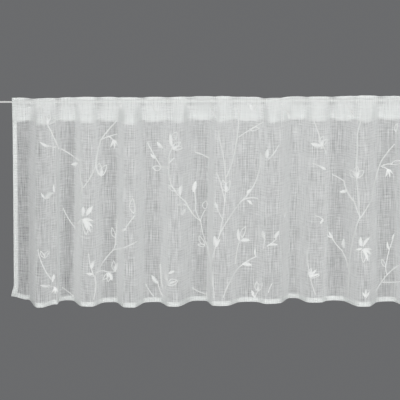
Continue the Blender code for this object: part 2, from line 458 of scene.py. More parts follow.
class NodeBench:
    """A node tree being wired, with short ways to add and join its nodes."""

    def __init__(self, tree: bpy.types.NodeTree) -> None:
        """Takes the tree and clears it.

        Args:
            tree: The shader or geometry tree to fill.
        """
        self.tree = tree
        tree.nodes.clear()

    def add(self, kind: str, values: dict | None = None, **settings: object) -> bpy.types.Node:
        """Adds a node.

        Args:
            kind: The node's type name.
            values: Constant values for its inputs, by name or number.
            settings: The node's own settings.

        Returns:
            The new node.
        """
        node = self.tree.nodes.new(kind)
        for name, setting in settings.items():
            setattr(node, name, setting)
        for name, value in (values or {}).items():
            node.inputs[name].default_value = value
        return node

    def join(self, start: bpy.types.NodeSocket, *ends: bpy.types.NodeSocket) -> None:
        """Joins one output to each of the inputs."""
        for end in ends:
            self.tree.links.new(start, end)

    def maths(self, operation: str, *terms: object, clamp: bool = False) -> bpy.types.NodeSocket:
        """Adds a maths node.

        Args:
            operation: The node's operation.
            terms: Numbers or outputs that it works on.
            clamp: Whether the result is kept between 0 and 1.

        Returns:
            The node's output.
        """
        node = self.add("ShaderNodeMath", operation=operation, use_clamp=clamp)
        for socket, term in zip(node.inputs, terms):
            if isinstance(term, bpy.types.NodeSocket):
                self.join(term, socket)
            else:
                socket.default_value = term
        return node.outputs[0]


class Slub(NamedTuple):
    """Threads that run thicker and thinner: their width and length in millimetres, and how
    much more of the cloth they cover."""

    width: float
    length: float
    change: float


@dataclass(frozen=True)
class SheerWeave:
    """Thin white voile with slubs: see-through in one layer, whiter where it lies double."""

    name: str = "sheer_cloth"
    colour: tuple[float, float, float, float] = (0.859, 0.872, 0.864, 1.0)
    cover: float = 0.68
    hem_colour: tuple[float, float, float, float] = (0.942, 0.958, 0.947, 1.0)
    open_edge: float = 0.19
    open_foot: float = 0.095
    open_reach: float = 150.0
    thread_change: float = 0.10
    thread_pitch: float = 0.9
    warp_slubs: tuple[Slub, ...] = (Slub(1.3, 32.0, 0.46), Slub(2.2, 65.0, 0.24))
    weft_slubs: tuple[Slub, ...] = (Slub(1.3, 14.0, 0.26), Slub(2.2, 70.0, 0.12))
    reed_pitch: float = 5.3
    reed_change: float = 0.035
    reed_drift: Slub = Slub(11.0, 60.0, 9.0)
    aslant_gain: float = 1.5
    glow: float = 0.45

    def make(self) -> bpy.types.Material:
        """Builds the material.

        Returns:
            The material, which reads the cloth's own UV map and the aslant attribute, with the
            flanks painted lighter for the front view and the heading's creases painted in shade.
        """
        material = bpy.data.materials.new(self.name)
        material.use_nodes = True
        bench = NodeBench(material.node_tree)
        place = bench.add("ShaderNodeUVMap", uv_map="cloth")
        split = bench.add("ShaderNodeSeparateXYZ")
        bench.join(place.outputs["UV"], split.inputs[0])
        across = bench.maths("MULTIPLY", split.outputs["X"], 1000.0)
        down = bench.maths("MULTIPLY", split.outputs["Y"], 1000.0)
        weave = bench.maths(
            "MULTIPLY", self._threads(bench, across), self._threads(bench, down)
        )
        opener = bench.add(
            "ShaderNodeMapRange",
            {
                "From Max": self.open_reach,
                "To Min": self.cover - self.open_edge,
                "To Max": self.cover,
            },
            interpolation_type="SMOOTHSTEP",
        )
        bench.join(across, opener.inputs["Value"])
        looser = bench.maths("MULTIPLY_ADD", down, -self.open_foot / 450.0, opener.outputs[0])
        cover = bench.maths("MULTIPLY_ADD", weave, self.thread_change, looser)
        reed = bench.maths(
            "ADD",
            self._marks(bench, across, down),
            self._marks(bench, down, across),
        )
        cover = bench.maths("MULTIPLY_ADD", reed, self.reed_change, cover)
        for slub in self.warp_slubs:
            streaks = self._streaks(bench, across, down, slub)
            cover = bench.maths("MULTIPLY_ADD", streaks, slub.change, cover)
        for slub in self.weft_slubs:
            streaks = self._streaks(bench, down, across, slub)
            cover = bench.maths("MULTIPLY_ADD", streaks, slub.change, cover)
        # The aslant attribute makes the cloth less see-through: in the real hems and heading, on
        # flanks painted lighter for the front view, and along the heading's creases, where it is
        # lowered as painted shade.
        aslant = bench.add("ShaderNodeAttribute", attribute_name="aslant")
        gaps_left = bench.maths("SUBTRACT", 1.0, cover, clamp=True)
        closed = bench.maths("MULTIPLY_ADD", aslant.outputs["Fac"], self.aslant_gain, 1.0)
        cover = bench.maths("SUBTRACT", 1.0, bench.maths("POWER", gaps_left, closed))
        layered = bench.add("ShaderNodeAttribute", attribute_name="layered")
        tone = bench.add("ShaderNodeMix", data_type="RGBA")
        tone.inputs[6].default_value = self.colour
        tone.inputs[7].default_value = self.hem_colour
        face = bench.add("ShaderNodeBsdfPrincipled", {"Roughness": 0.85, "Sheen Weight": 0.15})
        glow = bench.add("ShaderNodeBsdfTranslucent")
        bench.join(layered.outputs["Fac"], tone.inputs[0])
        bench.join(tone.outputs[2], face.inputs["Base Color"], glow.inputs["Color"])
        cloth = bench.add("ShaderNodeMixShader", {"Fac": self.glow})
        gaps = bench.add("ShaderNodeBsdfTransparent")
        whole = bench.add("ShaderNodeMixShader")
        out = bench.add("ShaderNodeOutputMaterial")
        bump = bench.add("ShaderNodeBump", {"Strength": 0.25, "Distance": 0.0002})
        bench.join(cover, bump.inputs["Height"])
        bench.join(bump.outputs[0], face.inputs["Normal"])
        bench.join(face.outputs[0], cloth.inputs[1])
        bench.join(glow.outputs[0], cloth.inputs[2])
        bench.join(cover, whole.inputs["Fac"])
        bench.join(gaps.outputs[0], whole.inputs[1])
        bench.join(cloth.outputs[0], whole.inputs[2])
        bench.join(whole.outputs[0], out.inputs["Surface"])
        return material

    def _streaks(
        self,
        bench: NodeBench,
        over: bpy.types.NodeSocket,
        along: bpy.types.NodeSocket,
        slub: Slub,
    ) -> bpy.types.NodeSocket:
        """Slubs: long thin streaks where threads run thicker or thinner.

        Args:
            bench: The tree.
            over: The coordinate across the streaks, in millimetres.
            along: The coordinate along them.
            slub: Their size.

        Returns:
            A value from -0.5 to 0.5.
        """
        place = bench.add("ShaderNodeCombineXYZ", {"Z": slub.length})
        bench.join(bench.maths("DIVIDE", over, slub.width), place.inputs[0])
        bench.join(bench.maths("DIVIDE", along, slub.length), place.inputs[1])
        noise = bench.add("ShaderNodeTexNoise", {"Scale": 1.0, "Detail": 0.0})
        bench.join(place.outputs[0], noise.inputs["Vector"])
        return bench.maths("SUBTRACT", noise.outputs["Fac"], 0.5)

    def _marks(
        self, bench: NodeBench, over: bpy.types.NodeSocket, along: bpy.types.NodeSocket
    ) -> bpy.types.NodeSocket:
        """Reed marks: closer and wider threads by turns, in lines that drift a little.

        Args:
            bench: The tree.
            over: The coordinate across the lines, in millimetres.
            along: The coordinate along them.

        Returns:
            A value from -1 to 1.
        """
        drift = self._streaks(bench, over, along, self.reed_drift)
        place = bench.maths("MULTIPLY_ADD", drift, self.reed_drift.change, over)
        turns = bench.maths("MULTIPLY", place, 2 * math.pi / self.reed_pitch)
        return bench.maths("SINE", turns)

    def _threads(self, bench: NodeBench, over: bpy.types.NodeSocket) -> bpy.types.NodeSocket:
        """The single threads of one direction, as an even wave from -1 to 1."""
        turns = bench.maths("MULTIPLY", over, 2 * math.pi / self.thread_pitch)
        return bench.maths("SINE", turns)


@dataclass(frozen=True)
class ThreadFinish:
    """Bright twisted thread, for the satin stitches and for the seams."""

    name: str
    colour: tuple[float, float, float, float]
    roughness: float
    sheen: float
    strand_size: float = 0.00016

    def make(self) -> bpy.types.Material:
        """Builds the material.

        Returns:
            The material, which reads Object coordinates.
        """
        material = bpy.data.materials.new(self.name)
        material.use_nodes = True
        bench = NodeBench(material.node_tree)
        place = bench.add("ShaderNodeTexCoord")
        strands = bench.add(
            "ShaderNodeTexNoise", {"Scale": 1 / self.strand_size, "Detail": 2.0}
        )
        tone = bench.add("ShaderNodeMix", data_type="RGBA", blend_type="MULTIPLY")
        tone.inputs[0].default_value = 1.0
        tone.inputs[6].default_value = self.colour
        shade = bench.add("ShaderNodeMapRange", {"To Min": 0.93, "To Max": 1.0})
        face = bench.add(
            "ShaderNodeBsdfPrincipled",
            {"Roughness": self.roughness, "Sheen Weight": self.sheen},
        )
        bump = bench.add("ShaderNodeBump", {"Strength": 0.3, "Distance": 0.0001})
        out = bench.add("ShaderNodeOutputMaterial")
        bench.join(place.outputs["Object"], strands.inputs["Vector"])
        bench.join(strands.outputs["Fac"], shade.inputs["Value"], bump.inputs["Height"])
        bench.join(shade.outputs[0], tone.inputs[7])
        bench.join(tone.outputs[2], face.inputs["Base Color"])
        bench.join(bump.outputs[0], face.inputs["Normal"])
        bench.join(face.outputs[0], out.inputs["Surface"])
        return material


@dataclass(frozen=True)
class RodEnamel:
    """White stoved enamel on a steel rod, with a faint orange-peel and dulled patches."""

    name: str = "rod_enamel"
    colour: tuple[float, float, float, float] = (0.96, 0.96, 0.94, 1.0)
    worn: tuple[float, float, float, float] = (0.90, 0.89, 0.86, 1.0)

    def make(self) -> bpy.types.Material:
        """Builds the material.

        Returns:
            The material, which reads Object coordinates.
        """
        material = bpy.data.materials.new(self.name)
        material.use_nodes = True
        bench = NodeBench(material.node_tree)
        place = bench.add("ShaderNodeTexCoord")
        patches = bench.add("ShaderNodeTexNoise", {"Scale": 22.0, "Detail": 3.0})
        peel = bench.add("ShaderNodeTexNoise", {"Scale": 900.0, "Detail": 1.0})
        wear = bench.add("ShaderNodeMapRange", {"From Min": 0.45, "From Max": 0.75})
        tone = bench.add("ShaderNodeMix", data_type="RGBA")
        tone.inputs[6].default_value = self.colour
        tone.inputs[7].default_value = self.worn
        rough = bench.add("ShaderNodeMapRange", {"To Min": 0.22, "To Max": 0.38})
        face = bench.add("ShaderNodeBsdfPrincipled", {"Coat Weight": 0.3})
        bump = bench.add("ShaderNodeBump", {"Strength": 0.12, "Distance": 0.0001})
        out = bench.add("ShaderNodeOutputMaterial")
        bench.join(place.outputs["Object"], patches.inputs["Vector"], peel.inputs["Vector"])
        bench.join(patches.outputs["Fac"], wear.inputs["Value"], rough.inputs["Value"])
        bench.join(wear.outputs[0], tone.inputs[0])
        bench.join(tone.outputs[2], face.inputs["Base Color"])
        bench.join(rough.outputs[0], face.inputs["Roughness"])
        bench.join(peel.outputs["Fac"], bump.inputs["Height"])
        bench.join(bump.outputs[0], face.inputs["Normal"])
        bench.join(face.outputs[0], out.inputs["Surface"])
        return material


@dataclass(frozen=True)
class PlainPaint:
    """Flat studio paint for the floor."""

    name: str
    colour: tuple[float, float, float, float]

    def make(self) -> bpy.types.Material:
        """Builds the material.

        Returns:
            The material.
        """
        material = bpy.data.materials.new(self.name)
        material.use_nodes = True
        bench = NodeBench(material.node_tree)
        face = bench.add(
            "ShaderNodeBsdfPrincipled", {"Base Color": self.colour, "Roughness": 0.9}
        )
        out = bench.add("ShaderNodeOutputMaterial")
        bench.join(face.outputs[0], out.inputs["Surface"])
        return material


@dataclass
class HungCloth:
    """The hung shape of the curtain: where each place on the flat cloth comes to lie.

    A place across the cloth is given by its fold number, which runs from 0 at the left edge
    to the last row of the table at the right edge.
    """

    height: float = 450 * MM
    width: float = 885 * MM
    frill: float = 8.5 * MM
    heading: float = 51 * MM
    hem: float = 10.5 * MM
    sleeve_radius: float = 2.55 * MM
    sleeve_drop: float = 9 * MM
    layer_offset: float = 0.65 * MM
    folds_start: float = 3 * MM
    fold_growth: float = 0.45
    soft_flank: float = 0.85
    sharp_flank: float = 0.22
    top_sharpness: float = 0.7
    round_share: float = 0.3
    frill_sway: float = 0.2
    lift_reach: float = 70 * MM
    corner_flip: float = 5.5 * MM
    corner_reach: float = 34 * MM
    corner_width: float = 0.8
    frill_crease: float = 0.4
    crease_dip: float = 0.3
    crease_spread: float = 1.25
    crease_fade: float = 3 * MM
    # How strongly the creases' painted shade opens the weave.
    crease_shade_gain: float = 1.6
    pucker_depth: float = 0.9 * MM
    pucker_pitch: float = 15 * MM
    pucker_reach: float = 85 * MM
    slack_depth: float = 1.6 * MM
    slack_length: float = 0.085
    table: dict[str, np.ndarray] = field(default_factory=dict)
    folds_dense: np.ndarray = field(default_factory=lambda: np.zeros(0))
    arc_dense: np.ndarray = field(default_factory=lambda: np.zeros(0))

    def __post_init__(self) -> None:
        """Reads the fold table and measures the hem's length."""
        for name in Fold._fields:
            unit = 1.0 if name in ("flank", "lean", "close") else MM
            self.table[name] = np.array([getattr(fold, name) for fold in FOLDS]) * unit
        self.folds_dense = np.linspace(0, self.last, 200 * self.last + 1)
        x, back = self.plan(self.folds_dense, np.full_like(self.folds_dense, self.foot))
        steps = np.hypot(np.diff(x), np.diff(back))
        self.arc_dense = np.concatenate(([0.0], np.cumsum(steps)))

    @property
    def last(self) -> int:
        """The number of the right edge's fold."""
        return len(FOLDS) - 1

    @property
    def foot(self) -> float:
        """The height of the curtain's foot."""
        return self.frill - self.height

    @property
    def heading_foot(self) -> float:
        """The height of the heading's foot."""
        return self.frill - self.heading

    @property
    def cloth_width(self) -> float:
        """The cloth's width between its two finished edges, measured over the folds."""
        return float(self.arc_dense[-1])

    def fold_at(self, across: np.ndarray) -> np.ndarray:
        """The fold number at a distance across the flat cloth."""
        return np.interp(across, self.arc_dense, self.folds_dense)

    def number_at(self, x: np.ndarray, z: np.ndarray) -> np.ndarray:
        """The fold numbers of places x from the left edge, at heights z."""
        drop = self.drop_share(z)[:, None]
        nodes = mix(self.table["x_top"], self.table["x_hem"], drop)
        index = np.clip((nodes <= x[:, None]).sum(axis=1) - 1, 0, self.last - 1)
        row = np.arange(len(x))
        low, high = nodes[row, index], nodes[row, index + 1]
        return np.clip(index + (x - low) / (high - low), 0.0, self.last)

    def drop_share(self, z: np.ndarray) -> np.ndarray:
        """How far down a height is, from 0 at the heading's foot to 1 at the curtain's."""
        return np.clip((self.heading_foot - z) / (self.heading_foot - self.foot), 0.0, 1.0)

    def _pair(self, name: str, number: np.ndarray) -> tuple[np.ndarray, np.ndarray, np.ndarray]:
        """A column's values at the folds on both sides, and the share of the way between."""
        index = np.clip(np.floor(number).astype(int), 0, self.last - 1)
        values = self.table[name]
        return values[index], values[index + 1], number - index

    def _along(self, number: np.ndarray, z: np.ndarray) -> np.ndarray:
        """The distance along the rod, from its middle."""
        top, top_next, share = self._pair("x_top", number)
        hem, hem_next, _ = self._pair("x_hem", number)
        place = mix(mix(top, top_next, share), mix(hem, hem_next, share), self.drop_share(z))
        low = eased(1 - (z - self.foot) / self.corner_reach) ** 1.5
        flip = self.corner_flip * low * (1 - eased(number / self.corner_width))
        return place - flip - self.width / 2

    def _turn(self, number: np.ndarray, grown: np.ndarray) -> np.ndarray:
        """How far the depth has gone from one fold's to the next one's."""
        flank, _, share = self._pair("flank", number)
        lean, _, _ = self._pair("lean", number)
        sharpness = flank * mix(self.top_sharpness, 1.0, grown)
        width = mix(self.soft_flank, self.sharp_flank, sharpness)
        start = np.minimum(np.clip(lean - width / 2, 0.0, 1.0), 1 - width)
        even = 0.5 - 0.5 * np.cos(math.pi * share)
        return mix(eased((share - start) / width), even, self.round_share)

    def _sway(self, z: np.ndarray) -> np.ndarray:
        """How much of the folds shows: none at the rod, all at the heading's foot."""
        below = np.clip((-self.folds_start - z) / (-self.folds_start - self.heading_foot), 0, 1)
        above = self.frill_sway * eased((z - self.folds_start) / (self.frill - self.folds_start))
        return np.where(z < -self.folds_start, np.sin(math.pi / 2 * below), above)

    def _puckers(self, number: np.ndarray, z: np.ndarray) -> np.ndarray:
        """The small uneven gathers next to the rod, which fade out below the heading."""
        place = self._along(number, z)
        turns = 2 * math.pi * place / self.pucker_pitch
        uneven = turns + 2.6 * np.sin(place / 0.031) + 1.7 * np.sin(place / 0.0123 + 1.0)
        height = 0.55 + 0.3 * np.sin(place / 0.047 + 2.0) + 0.15 * np.sin(place / 0.019)
        wave = np.sin(uneven) * height
        depth = -self.folds_start - z
        below = eased(depth / (9 * MM)) * (1 - eased((depth - 15 * MM) / self.pucker_reach))
        above = 0.45 * eased((z - self.folds_start) / (4 * MM))
        return self.pucker_depth * wave * np.where(z < 0, below, above)

    def _creases(self, number: np.ndarray, z: np.ndarray) -> np.ndarray:
        """How far the heading's pinched creases lie back."""
        place = self._along(number, z) + self.width / 2
        below = eased((-self.folds_start - z) / (10 * MM))
        above = self.frill_crease * eased((z - self.folds_start) / (4 * MM))
        depth = np.zeros_like(place)
        for crease in CREASES:
            near = self._near(place, crease.x * MM, crease.width * MM)
            fade = 1 - eased((self.heading_foot + 10 * MM - z) / (crease.reach * MM))
            depth = depth + crease.depth * MM * fade * near
        return depth * np.where(z < 0, below, above)

    def _near(self, place: np.ndarray, middle: np.ndarray, width: float) -> np.ndarray:
        """How near a place is to the middle of a crease or band: 1 there, 0 well past it."""
        far = (place - middle) / (width / 2)
        return np.exp(-far * far)

    def _slack(self, number: np.ndarray, z: np.ndarray) -> np.ndarray:
        """The slow waver of the folds from the heading to the foot."""
        down = -z / self.slack_length
        wave = np.sin(down + 1.9 * number) * 0.5 + np.sin(0.57 * down - 2.7 * number + 1.0)
        return self.slack_depth * 0.6 * wave * self.drop_share(z) ** 0.6

    def plan(self, number: np.ndarray, z: np.ndarray) -> tuple[np.ndarray, np.ndarray]:
        """The cloth's middle seen from above.

        Args:
            number: Fold numbers.
            z: Heights.

        Returns:
            The places along X and along Y.
        """
        grown = self.drop_share(z) ** self.fold_growth
        top, top_next, _ = self._pair("forward_top", number)
        hem, hem_next, _ = self._pair("forward_hem", number)
        here, after = mix(top, hem, grown), mix(top_next, hem_next, grown)
        forward = mix(here, after, self._turn(number, grown)) * self._sway(z)
        forward = forward + self._puckers(number, z) + self._slack(number, z)
        forward = forward - self._creases(number, z)
        return self._along(number, z), -forward

    def layer_distance(self, z: np.ndarray) -> np.ndarray:
        """How far each layer of the heading stands from its middle."""
        round_rod = np.sqrt(np.maximum(0.0, self.sleeve_radius**2 - z * z))
        above = np.maximum(self.layer_offset, round_rod)
        below = mix(self.sleeve_radius, self.layer_offset, eased(-z / self.sleeve_drop))
        return np.where(z >= 0, above, below)

    def raised(self, number: np.ndarray, z: np.ndarray) -> np.ndarray:
        """How much the frill's top or the hem is raised."""
        crown, crown_next, share = self._pair("crown", number)
        lift, lift_next, _ = self._pair("lift", number)
        soft = eased(share)
        crown_share = eased((z - self.folds_start) / (self.frill - self.folds_start))
        lift_share = eased(1 - (z - self.foot) / self.lift_reach)
        dip = self.crease_dip / self.frill_crease * self._creases(number, z)
        rise = mix(crown, crown_next, soft) - dip
        return rise * crown_share + mix(lift, lift_next, soft) * lift_share

    def closeness_and_painted_shade(self, number: np.ndarray, z: np.ndarray) -> np.ndarray:
        """How much less see-through the cloth is drawn, with painted shade along the heading's
        creases.

        Args:
            number: Fold numbers.
            z: Heights.

        Returns:
            The value from the folds, the painted shade and light of the heading's creases, and
            the bands below them.
        """
        close, close_next, share = self._pair("close", number)
        total = mix(close, close_next, eased(share))
        place = self._along(number, z) + self.width / 2
        heading = eased((z - self.heading_foot) / self.crease_fade + 1)
        # Painted shade: the weave is opened along the heading's creases so that they show darker,
        # as if shaded in the pinch, and closed where the value is below 0 so that they show
        # lighter.
        for crease in CREASES:
            near = self._near(place, crease.x * MM, crease.width * self.crease_spread * MM)
            total = total - self.crease_shade_gain * crease.painted_shade * heading * near
        drop = self.drop_share(z)
        for band in BANDS:
            middle = mix(band.x_top, band.x_hem, drop) * MM
            gain = mix(band.close_top, band.close_hem, drop) * (1 - heading)
            total = total + gain * self._near(place, middle, band.width * MM)
        return total

    def place(self, number: np.ndarray, z: np.ndarray, back: np.ndarray) -> np.ndarray:
        """Where a place on the cloth lies once it is hung.

        Args:
            number: Fold numbers.
            z: Heights.
            back: Distances from the cloth's middle towards its back.

        Returns:
            An array of points, with X, Y and Z in the last axis.
        """
        step = 0.01
        before = np.clip(number - step, 0, self.last)
        after = np.clip(number + step, 0, self.last)
        x, y = self.plan(number, z)
        x0, y0 = self.plan(before, z)
        x1, y1 = self.plan(after, z)
        run = np.hypot(x1 - x0, y1 - y0)
        across_x, across_y = -(y1 - y0) / run, (x1 - x0) / run
        return np.stack(
            (x + across_x * back, y + across_y * back, z + self.raised(number, z)), axis=-1
        )

    def lay(self, flat: np.ndarray) -> np.ndarray:
        """Lays flat work on the front of the hung cloth.

        Args:
            flat: Points with the distance across the cloth, the height, and the distance in
                front of the cloth.

        Returns:
            The points on the hung cloth.
        """
        number = self.fold_at(flat[:, 0])
        z = flat[:, 1]
        back = -self.layer_distance(z) - flat[:, 2]
        return self.place(number, z, back)


class ClothRow(NamedTuple):
    """A cross row of the cloth: its height, its side of the middle, its tuck, its place down
    the flat cloth, which is 0 along the frill's top, and how close its threads lie."""

    z: float
    side: float
    tuck: float
    down: float
    close: float = 0.0


class ClothColumn(NamedTuple):
    """An upright column of the cloth: its distance from the left edge over the folds, its
    tuck behind the face, its place across the flat cloth, and how close its threads lie."""

    across: float
    tuck: float
    flat: float
    close: float = 0.0


@dataclass
class CurtainCloth:
    """The curtain's one length of cloth, with its turned hems and its heading."""

    hung: HungCloth
    column_pitch: float = 2.6 * MM
    row_pitch: float = 4.6 * MM
    side_hem: float = 12.8 * MM
    inner_turn: float = 9 * MM
    tuck: float = 0.35 * MM
    heading_turn: float = 15 * MM
    most_aslant: float = 1.6
    least_facing: float = 0.2
    edge_closeness: float = 1.3
    edge_reach: float = 1.6 * MM
    top_fold: float = 3.2 * MM
    top_whiteness: float = 1.6
    hem_whiteness: float = 0.45
    turn_whiteness: float = 0.35
    turn_reach: float = 8 * MM
    hem_closeness: float = 1.2
    sleeve_closeness: float = 1.2
    heading_closeness: float = 0.9

    def cut_size(self) -> tuple[float, float]:
        """The flat size the cloth was cut to, hems and heading included."""
        across = self.hung.cloth_width + 2 * (self.side_hem + self.inner_turn)
        down = self.hung.height + self.hung.hem + self.inner_turn
        return across, down + self.hung.heading + self.heading_turn

    def _columns(self) -> list[ClothColumn]:
        """The upright columns, from the left side hem's raw edge to the right one's."""
        width, hem = self.hung.cloth_width, self.side_hem
        turned = (1 * MM, 4 * MM, 7 * MM, hem - 0.4 * MM)
        close = self.hem_closeness
        left = [ClothColumn(d, self.tuck, -hem - (hem - d), close) for d in turned]
        left += [
            ClothColumn(d, 2 * self.tuck, -d, close) for d in (hem, 7 * MM, 4 * MM, 0.4 * MM)
        ]
        count = round(width / self.column_pitch)
        start = hem + 0.3 * MM
        places = [0.0, 0.8 * MM, 1.6 * MM, 4.6 * MM, 7.6 * MM, hem - 0.3 * MM]
        places += [start + (width - 2 * start) * step / count for step in range(count + 1)]
        places += [width - place for place in reversed(places[:6])]
        face = [ClothColumn(across, 0.0, across) for across in places]
        right = [
            ClothColumn(width - c.across, c.tuck, width - c.flat, c.close)
            for c in reversed(left)
        ]
        return left + face + right

    def _rows(self) -> list[ClothRow]:
        """The cross rows, from the foot hem's raw edge to the heading's."""
        hung = self.hung
        foot, hem, length = hung.foot, hung.hem, hung.height
        turned = (1 * MM, 4 * MM, 7 * MM, hem - 0.4 * MM)
        close = self.hem_closeness
        rows = [ClothRow(foot + d, -1, self.tuck, length + 2 * hem - d, close) for d in turned]
        rows += [
            ClothRow(foot + d, -1, 2 * self.tuck, length + d, close)
            for d in (hem, 7 * MM, 4 * MM, 0.4 * MM)
        ]
        count = round((hung.heading_foot - foot) / self.row_pitch)
        face = [foot, foot + 0.8 * MM, foot + 1.6 * MM, foot + hem / 2]
        face += [foot + hem - 0.3 * MM]
        face += list(np.linspace(foot + hem + 0.3 * MM, hung.heading_foot, count + 1))
        face += [hung.heading_foot + step * 3 * MM for step in range(1, 12)]
        face += [z * MM for z in (-7.2, -5.2, -3.4, -2.2, -1.0, 0.0, 0.9, 1.6, 2.1, 2.55, 3.2)]
        face += [hung.frill - d * MM for d in (4.4, 3.3, 2.2, 1.2, 0.6, 0.2)]
        close = self.heading_closeness
        for z in face:
            if abs(z) < hung.folds_start:
                near = self.sleeve_closeness
            else:
                near = close if z > hung.heading_foot - 1e-6 else 0.0
            rows.append(ClothRow(z, -1, 0.0, hung.frill - z, near))
        rows.append(ClothRow(hung.frill, 0, 0.0, 0.0, close))
        behind = [z for z in reversed(face) if z >= hung.heading_foot - 1e-6]
        rows += [ClothRow(z, 1, 0.0, z - hung.frill, close) for z in behind]
        raw = (0.6, 3.0, 6.0, 9.0, 12.0, 15.0)
        rows += [
            ClothRow(hung.heading_foot + d * MM, 1, -0.4 * MM, -hung.heading - d * MM, close)
            for d in raw
        ]
        return rows

    def _offset(self, z: np.ndarray, side: np.ndarray, tucks: np.ndarray) -> np.ndarray:
        """The distance of each vertex from the cloth's middle, towards the back."""
        close = np.where(z > self.hung.heading_foot - 1 * MM, 0.4, 1.0)
        distance = self.hung.layer_distance(z)
        top = (self.hung.frill - z) / (1.2 * MM)
        distance = distance * np.sqrt(np.clip(top * (2 - np.clip(top, 0, 1)), 0.0, 1.0))
        facing = np.where(side == 0, 0.0, side)
        return facing * distance - facing * tucks * close

    def build(self, finish: bpy.types.Material) -> bpy.types.Object:
        """Makes the cloth's mesh.

        Args:
            finish: The cloth's material.

        Returns:
            The cloth.
        """
        columns, rows = self._columns(), self._rows()
        across = np.array([column.across for column in columns])
        number, z = np.meshgrid(self.hung.fold_at(across), np.array([row.z for row in rows]))
        side = np.array([row.side for row in rows])[:, None] + np.zeros_like(z)
        tucks = np.array([column.tuck for column in columns])[None, :] + np.zeros_like(z)
        back = self._offset(z, side, tucks)
        back = back + np.array([row.tuck for row in rows])[:, None]
        points = self.hung.place(number, z, back)
        mesh = bpy.data.meshes.new("curtain_cloth")
        sheet = bmesh.new()
        bmesh.ops.create_grid(
            sheet, x_segments=len(columns) - 1, y_segments=len(rows) - 1, size=0.5
        )
        places = sheet.loops.layers.uv.new("cloth")
        aslant = sheet.verts.layers.float.new("aslant")
        layered = sheet.verts.layers.float.new("layered")
        # Painted for the front view: flanks are drawn denser so that they show lighter, and the
        # heading's creases get painted shade, all in the aslant attribute.
        slants = self._slants(points) + self._turned(columns, rows)
        slants = slants + self.hung.closeness_and_painted_shade(number, z)
        layers = self._layers(columns, rows)
        sheet.verts.ensure_lookup_table()
        spots = {}
        for vertex in sheet.verts:
            i = round((vertex.co.x + 0.5) * (len(columns) - 1))
            j = round((vertex.co.y + 0.5) * (len(rows) - 1))
            spots[vertex] = (columns[i].flat, rows[j].down)
            vertex.co = points[j, i]
            vertex[aslant] = slants[j, i]
            vertex[layered] = layers[j, i]
        for face in sheet.faces:
            face.smooth = True
            for loop in face.loops:
                loop[places].uv = spots[loop.vert]
        sheet.to_mesh(mesh)
        sheet.free()
        mesh.materials.append(finish)
        cloth = bpy.data.objects.new("curtain_cloth", mesh)
        bpy.context.scene.collection.objects.link(cloth)
        return cloth

    def _slants(self, points: np.ndarray) -> np.ndarray:
        """How much denser a flank is drawn than cloth that faces front, which paints the flanks
        lighter as sheer cloth turned aslant looks from the front.
        """
        across = np.gradient(points, axis=1)
        run = np.hypot(across[..., 0], across[..., 1])
        facing = np.abs(across[..., 0]) / np.maximum(run, 1e-9)
        return (1 / np.maximum(facing, self.least_facing) - 1).clip(0.0, self.most_aslant)

    def _turned(self, columns: list[ClothColumn], rows: list[ClothRow]) -> np.ndarray:
        """How much closer the threads lie in the hems and heading and along folded edges.

        Args:
            columns: The cloth's upright columns.
            rows: Its cross rows.

        Returns:
            A value for each row and column.
        """
        hung = self.hung
        z = np.array([row.z for row in rows])
        edges = np.minimum(z - hung.foot, hung.frill - z)
        down = self.edge_closeness * np.clip(1 - edges / self.edge_reach, 0, 1)
        down = down + np.array([row.close for row in rows])
        across = np.array([column.across for column in columns])
        inward = np.minimum(across, hung.cloth_width - across)
        sides = self.edge_closeness * np.clip(1 - inward / self.edge_reach, 0, 1)
        sides = sides + np.array([column.close for column in columns])
        return down[:, None] + sides[None, :]

    def _layers(self, columns: list[ClothColumn], rows: list[ClothRow]) -> np.ndarray:
        """Where the cloth lies in three layers or is folded sharply, and so looks whiter.

        Args:
            columns: The cloth's upright columns.
            rows: Its cross rows.

        Returns:
            A value from 0 to 1 for each row and column.
        """
        hung = self.hung
        z = np.array([row.z for row in rows])
        across = np.array([column.across for column in columns])
        inward = np.minimum(across, hung.cloth_width - across)
        foot = self.hem_whiteness * (z < hung.foot + hung.hem)
        below_raw = hung.heading_foot + self.heading_turn - z
        turned = self.turn_whiteness * eased(below_raw / self.turn_reach)
        foot = foot + turned * (z > hung.heading_foot - 1e-6)
        fold = np.clip(self.top_whiteness - (hung.frill - z) / self.top_fold, 0, 1)
        sides = self.hem_whiteness * (inward < self.side_hem)
        return np.maximum(np.maximum(foot, fold)[:, None], sides[None, :])


class ThreadLines:
    """Lines drawn on the flat cloth that threads are laid across."""

    def __init__(self) -> None:
        """Starts with no lines."""
        self.points: list[tuple[float, float, float]] = []
        self.halves: list[float] = []
        self.edges: list[tuple[int, int]] = []

    def draw(self, line: Sequence[Vector], halves: Sequence[float]) -> None:
        """Adds a line.

        Args:
            line: Its points on the flat cloth.
            halves: Half a thread's length at each point.
        """
        first = len(self.points)
        self.points += [(point.x, point.y, 0.0) for point in line]
        self.halves += list(halves)
        self.edges += [(first + i, first + i + 1) for i in range(len(line) - 1)]

    def to_object(self, name: str) -> bpy.types.Object:
        """Makes an object of the lines, with the half lengths as an attribute."""
        mesh = bpy.data.meshes.new(name)
        mesh.from_pydata(self.points, self.edges, [])
        half = mesh.attributes.new("half_length", "FLOAT", "POINT")
        half.data.foreach_set("value", self.halves)
        lines = bpy.data.objects.new(name, mesh)
        bpy.context.scene.collection.objects.link(lines)
        return lines


